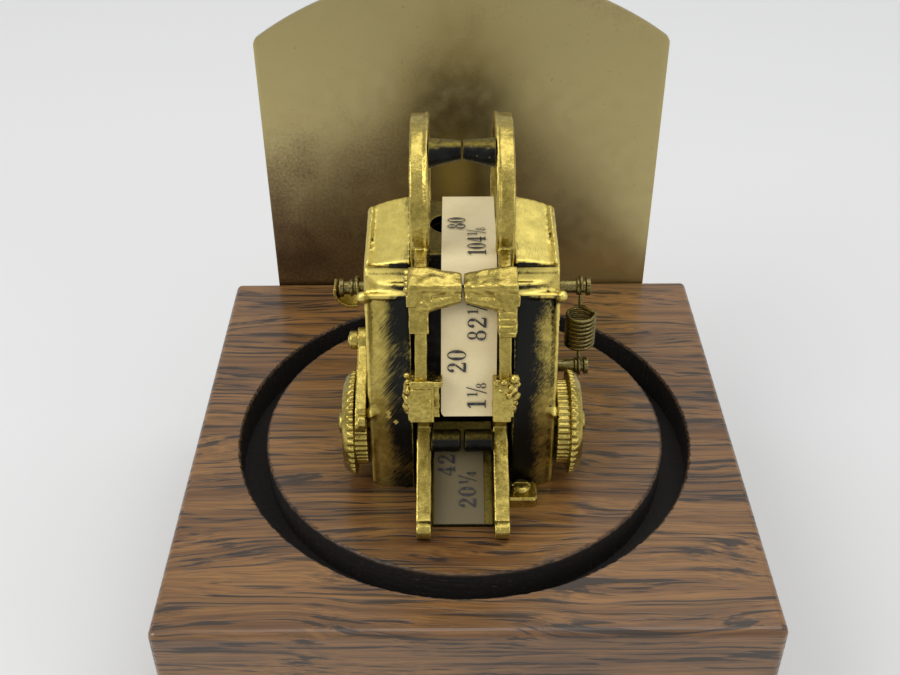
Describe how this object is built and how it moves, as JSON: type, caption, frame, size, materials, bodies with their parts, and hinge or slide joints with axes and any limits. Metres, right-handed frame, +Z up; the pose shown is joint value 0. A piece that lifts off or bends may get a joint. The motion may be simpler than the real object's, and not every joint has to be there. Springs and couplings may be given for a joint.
{
  "type": "stock ticker bookend",
  "caption": "Bookend: grooved oak block with an arched brass plate and a miniature cast-brass stock ticker carrying a paper tape.",
  "frame": {"origin": "centre of the flat underside", "axes": "+Z up, -Y to the front where the tape runs out, +Y to the brass plate, +X to the spring side"},
  "size_m": [0.0917, 0.0908, 0.1009],
  "materials": {
    "oak": "stained oak, satin lacquer",
    "felt": "short felt",
    "sheet_brass": "satin, tarnished",
    "screw_brass": "polished heads, dark slots",
    "brushed_brass": "hand brushed over black patina",
    "cast_brass": "polished cast, dark recesses",
    "blackened_brass": "blackened, satin",
    "spring_wire": "drawn wire and turned posts, oxidised",
    "paper": "matt aged paper with black print"
  },
  "bodies": {
    "bookend": {"back_plate": "sheet_brass", "back_plate_screws": "screw_brass", "core_block": "blackened_brass", "detent_knob": "cast_brass", "detent_stud": "cast_brass", "felt_pad": "felt", "hook_strap": "cast_brass", "left_bracket_bosses": "cast_brass", "left_cover_disc": "brushed_brass", "left_crossbar": "cast_brass", "left_housing": "brushed_brass", "left_low_peg": "blackened_brass", "left_rear_leg": "cast_brass", "left_rear_lug": "cast_brass", "left_side_frame": "cast_brass", "left_top_peg": "blackened_brass", "left_upper_post": "spring_wire", "left_wheel_axle": "cast_brass", "lever_screw": "cast_brass", "lower_tape": "paper", "mounting_bolts": "cast_brass", "oak_base": "oak", "plaque_pins": "screw_brass", "rear_bar": "cast_brass", "rear_bar_screw": "cast_brass", "right_bracket_bosses": "cast_brass", "right_cover_disc": "brushed_brass", "right_crossbar": "cast_brass", "right_front_lug": "cast_brass", "right_housing": "brushed_brass", "right_low_peg": "blackened_brass", "right_rear_leg": "cast_brass", "right_side_frame": "cast_brass", "right_top_peg": "blackened_brass", "right_upper_post": "spring_wire", "right_wheel_axle": "cast_brass", "side_plaque": "sheet_brass", "tape_chute": "blackened_brass", "tape_table": "blackened_brass", "tension_spring": "spring_wire", "upper_tape": "paper", "wire_ring": "spring_wire"},
    "left_wheel": {"left_fluted_wheel": "cast_brass"},
    "right_wheel": {"right_fluted_wheel": "cast_brass"},
    "detent": {"detent_lever": "cast_brass"},
    "spring_arm": {"spring_lever": "blackened_brass", "right_lower_post": "spring_wire"}
  },
  "joints": [
    {"name": "left_wheel_spin", "type": "hinge", "parent": "bookend", "child": "left_wheel", "pos_m": [-0.0175, -0.01, 0.0476], "axis": [1, 0, 0], "continuous": true},
    {"name": "right_wheel_spin", "type": "hinge", "parent": "bookend", "child": "right_wheel", "pos_m": [0.0165, -0.01, 0.0476], "axis": [1, 0, 0], "continuous": true},
    {"name": "detent_swing", "type": "hinge", "parent": "bookend", "child": "detent", "pos_m": [-0.0159, -0.003, 0.0586], "axis": [-1, 0, 0], "range_deg": [0, 12]},
    {"name": "spring_arm_swing", "type": "hinge", "parent": "bookend", "child": "spring_arm", "pos_m": [0.0146, 0.009, 0.0465], "axis": [1, 0, 0], "range_deg": [0, 6], "stiffness_Nm_per_rad": 0.002, "springref_deg": -5.73, "deforming": ["tension_spring"]}
  ]
}
